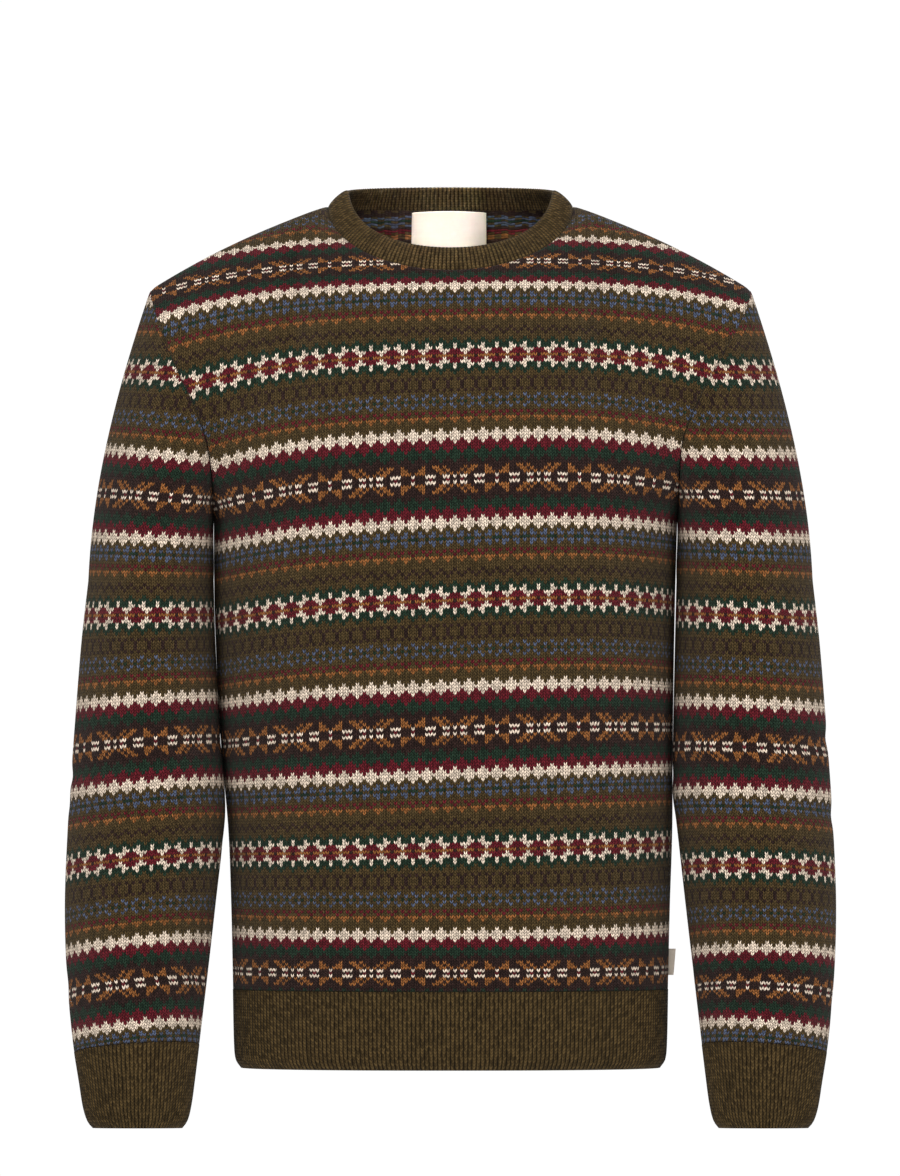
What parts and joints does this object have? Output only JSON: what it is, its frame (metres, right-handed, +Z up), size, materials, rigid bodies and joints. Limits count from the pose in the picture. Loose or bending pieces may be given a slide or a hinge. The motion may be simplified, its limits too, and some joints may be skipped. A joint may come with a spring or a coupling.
{
  "type": "fair isle jumper",
  "caption": "Crew-neck stranded-knit jumper with long sleeves, hollow and filled out as worn, with ribbed neckband, hem and cuffs.",
  "frame": {"origin": "midway between the two neck points of the shoulder seams, where the wearer's neck and shoulders hold the jumper; the hem and cuffs hang below it", "axes": "+Z up along the body, +X to the wearer's left (the viewer's right from the front), -Y to the front"},
  "size_m": [0.616, 0.2299, 0.7515],
  "materials": {
    "patterned_knit": "stranded wool knit in horizontal bands, matt and slightly heathered",
    "ribbed_knit": "olive wool in one-and-one rib, matt",
    "label_cloth": "woven cotton ribbon, bare, faint satin sheen"
  },
  "bodies": {
    "root": {"front": "patterned_knit", "back": "patterned_knit", "hem_rib_front": "ribbed_knit", "hem_rib_back": "ribbed_knit", "sleeve_left": "patterned_knit", "sleeve_right": "patterned_knit", "cuff_left": "ribbed_knit", "cuff_right": "ribbed_knit", "neckband": "ribbed_knit", "neck_label": "label_cloth", "side_label": "label_cloth"}
  },
  "joints": []
}
